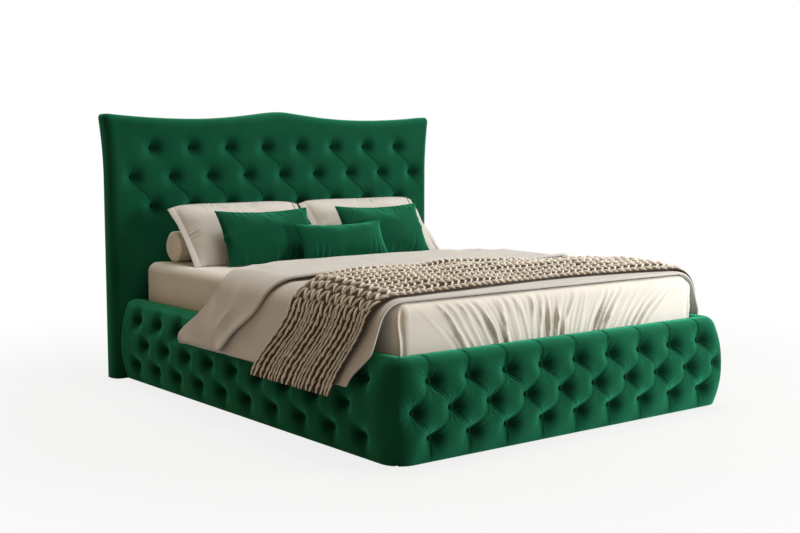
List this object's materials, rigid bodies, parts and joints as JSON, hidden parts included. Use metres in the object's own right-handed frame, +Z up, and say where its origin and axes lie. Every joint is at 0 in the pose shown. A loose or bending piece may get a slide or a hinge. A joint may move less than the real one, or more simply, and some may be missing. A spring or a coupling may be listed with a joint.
{
  "type": "upholstered headboard bed",
  "caption": "Double bed with a tall tufted velvet headboard with a shaped top edge, a deep tufted surround, slatted base, mattress, duvet, knitted throw, pillows and cushions.",
  "frame": {"origin": "on the floor under the middle of the bed's outer box", "axes": "+Z up, +Y from the foot to the headboard, +X to the right as seen from the foot"},
  "size_m": [1.9876, 2.23, 1.296],
  "materials": {
    "velvet": "short-pile velvet, satin sheen",
    "button_velvet": "velvet-covered buttons",
    "softwood": "planed, unfinished",
    "plywood": "sanded board, unfinished",
    "zinc_steel": "zinc plated",
    "glide_plastic": "moulded, matte",
    "mattress_ticking": "knitted ticking",
    "bed_linen": "plain-weave cotton",
    "duvet_cotton": "plain-weave cotton",
    "throw_knit": "chunky two-tone knit",
    "pillow_cotton": "plain-weave cotton",
    "cushion_velvet": "short-pile velvet",
    "bolster_cotton": "plain-weave cotton"
  },
  "bodies": {
    "bed_frame": {"beam_hangers": "zinc_steel", "board_glides": "glide_plastic", "centre_beam": "softwood", "centre_legs": "softwood", "corner_screws": "zinc_steel", "foot_board": "plywood", "foot_buttons": "button_velvet", "foot_corner_blocks": "softwood", "foot_pad": "velvet", "hanger_screws": "zinc_steel", "head_brackets": "zinc_steel", "headboard_back": "plywood", "headboard_bolts": "zinc_steel", "headboard_buttons": "button_velvet", "headboard_crossbars": "softwood", "headboard_glides": "glide_plastic", "headboard_leg_pads": "velvet", "headboard_pad": "velvet", "headboard_panel": "plywood", "headboard_posts": "softwood", "headboard_side_battens": "softwood", "headboard_top_batten": "softwood", "ledger_screws": "zinc_steel", "leg_glides": "glide_plastic", "side_board_bolts": "zinc_steel", "side_board_left": "plywood", "side_board_right": "plywood", "side_buttons_left": "button_velvet", "side_buttons_right": "button_velvet", "side_ledger_left": "softwood", "side_ledger_right": "softwood", "side_pad_left": "velvet", "side_pad_right": "velvet", "slat_screws": "zinc_steel", "slats": "softwood"},
    "mattress": {"mattress": "mattress_ticking", "fitted_sheet": "bed_linen"},
    "duvet": {"duvet": "duvet_cotton"},
    "throw": {"throw": "throw_knit"},
    "pillow_left": {"pillow_left": "pillow_cotton"},
    "pillow_right": {"pillow_right": "pillow_cotton"},
    "cushion_left": {"cushion_left": "cushion_velvet"},
    "cushion_right": {"cushion_right": "cushion_velvet"},
    "lumbar_cushion": {"lumbar_cushion": "cushion_velvet"},
    "bolster": {"bolster": "bolster_cotton"}
  },
  "joints": [
    {"name": "mattress_lift", "type": "slide", "parent": "bed_frame", "child": "mattress", "axis": [0, 0, 1], "range_m": [0, 0.3]},
    {"name": "duvet_lift", "type": "slide", "parent": "mattress", "child": "duvet", "axis": [0, 0, 1], "range_m": [0, 0.3]},
    {"name": "throw_lift", "type": "slide", "parent": "duvet", "child": "throw", "axis": [0, 0, 1], "range_m": [0, 0.25]},
    {"name": "pillow_left_lift", "type": "slide", "parent": "mattress", "child": "pillow_left", "axis": [0, 0.4695, 0.8829], "range_m": [0, 0.14]},
    {"name": "pillow_right_lift", "type": "slide", "parent": "mattress", "child": "pillow_right", "axis": [0, 0.4695, 0.8829], "range_m": [0, 0.14]},
    {"name": "cushion_left_lift", "type": "slide", "parent": "mattress", "child": "cushion_left", "axis": [0, 0.4695, 0.8829], "range_m": [0, 0.25]},
    {"name": "cushion_right_lift", "type": "slide", "parent": "mattress", "child": "cushion_right", "axis": [0, 0.4695, 0.8829], "range_m": [0, 0.25]},
    {"name": "lumbar_cushion_lift", "type": "slide", "parent": "mattress", "child": "lumbar_cushion", "axis": [0, 0.4695, 0.8829], "range_m": [0, 0.2]},
    {"name": "bolster_slide", "type": "slide", "parent": "mattress", "child": "bolster", "axis": [-1, 0, 0], "range_m": [0, 0.5]}
  ]
}
